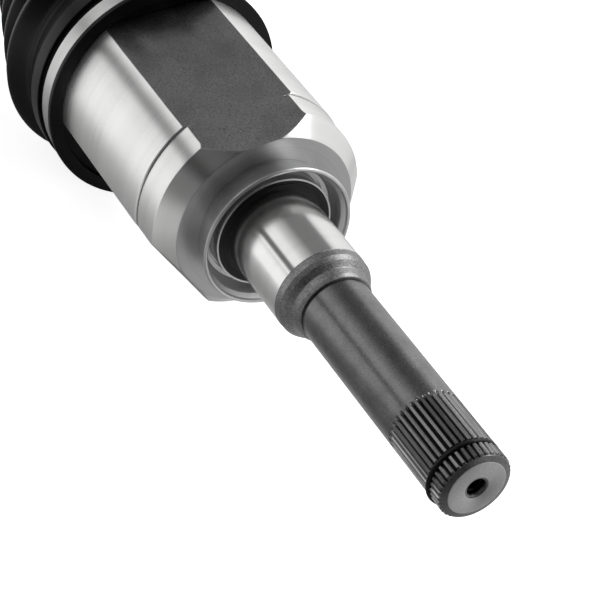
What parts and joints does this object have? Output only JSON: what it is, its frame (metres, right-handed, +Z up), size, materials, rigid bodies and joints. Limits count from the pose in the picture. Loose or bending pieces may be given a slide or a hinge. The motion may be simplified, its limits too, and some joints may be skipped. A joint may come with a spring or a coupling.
{
  "type": "cv axle shaft",
  "caption": "Drive axle shaft: splined stub on a plunging tripod joint, a bar, and a fixed ball joint with a splined, threaded wheel end, both under bellows boots.",
  "frame": {"origin": "on the shaft's axis, half way along the ground land on which the gearbox's oil seal runs", "axes": "+X along the shaft from the inner stub to the wheel end, +Z up with the shaft lying down, +Y along the axis of trunnion a"},
  "size_m": [0.712, 0.106, 0.106],
  "materials": {
    "turned_steel": "satin, turned and ground",
    "bright_strip": "bright pressed strip",
    "bearing_steel": "polished",
    "spring_steel": "phosphated black",
    "forged_steel": "as forged, machined on its working faces",
    "painted_bar": "satin black paint",
    "boot_plastic": "semi-gloss black elastomer",
    "seal_rubber": "matt black rubber"
  },
  "bodies": {
    "inner_joint_housing": {"inner_housing": "turned_steel", "stub_circlip": "spring_steel", "dust_cover": "bright_strip", "seal_case": "bright_strip", "seal_lip": "seal_rubber", "boot_adapter": "seal_rubber", "inner_boot": "boot_plastic", "inner_boot_large_clamp": "bright_strip"},
    "trunnion_needles": {"needles_a": "bearing_steel"},
    "roller_on_trunnion_a": {"roller_a": "bearing_steel"},
    "bar": {"bar_shaft": "painted_bar", "spider": "forged_steel", "needles_b": "bearing_steel", "needles_c": "bearing_steel", "needle_washers": "bearing_steel", "trunnion_snap_rings": "spring_steel", "spider_snap_rings": "spring_steel", "inner_boot_small_clamp": "bright_strip", "inner_race": "forged_steel", "inner_race_snap_ring": "spring_steel", "outer_boot_small_clamp": "bright_strip"},
    "roller_on_trunnion_b": {"roller_b": "bearing_steel"},
    "roller_on_trunnion_c": {"roller_c": "bearing_steel"},
    "cage_and_balls": {"ball_cage": "bearing_steel", "balls": "bearing_steel"},
    "wheel_end": {"outer_race": "turned_steel", "outer_boot": "boot_plastic", "outer_boot_large_clamp": "bright_strip"}
  },
  "joints": [
    {"name": "inner_plunge", "type": "slide", "parent": "inner_joint_housing", "child": "trunnion_needles", "axis": [1, 0, 0], "range_m": [-0.02, 0.01], "deforming": ["inner_boot"]},
    {"name": "inner_bend", "type": "hinge", "parent": "trunnion_needles", "child": "bar", "pos_m": [0.1088, 0, 0], "axis": [0, 1, 0], "range_deg": [-18, 18], "deforming": ["inner_boot"]},
    {"name": "roller_a_spin", "type": "hinge", "parent": "trunnion_needles", "child": "roller_on_trunnion_a", "pos_m": [0.1088, 0, 0], "axis": [0, 1, 0], "range_deg": [-75, 40]},
    {"name": "roller_b_spin", "type": "hinge", "parent": "bar", "child": "roller_on_trunnion_b", "pos_m": [0.1088, 0, 0], "axis": [0, -0.5, 0.866], "range_deg": [-75, 40]},
    {"name": "roller_c_spin", "type": "hinge", "parent": "bar", "child": "roller_on_trunnion_c", "pos_m": [0.1088, 0, 0], "axis": [0, -0.5, -0.866], "range_deg": [-75, 40]},
    {"name": "outer_bend_cage", "type": "hinge", "parent": "bar", "child": "cage_and_balls", "pos_m": [0.4788, 0, 0], "axis": [0, 0, 1], "range_deg": [-21, 21], "deforming": ["outer_boot"]},
    {"name": "outer_bend_bell", "type": "hinge", "parent": "cage_and_balls", "child": "wheel_end", "pos_m": [0.4788, 0, 0], "axis": [0, 0, 1], "range_deg": [-21, 21], "deforming": ["outer_boot"]}
  ],
  "couplings": [
    {"joint": "roller_a_spin", "follows": "inner_plunge", "rad_per_m": 62.5},
    {"joint": "roller_b_spin", "follows": "inner_plunge", "rad_per_m": 62.5},
    {"joint": "roller_c_spin", "follows": "inner_plunge", "rad_per_m": 62.5},
    {"joint": "outer_bend_bell", "follows": "outer_bend_cage", "ratio": 1}
  ]
}
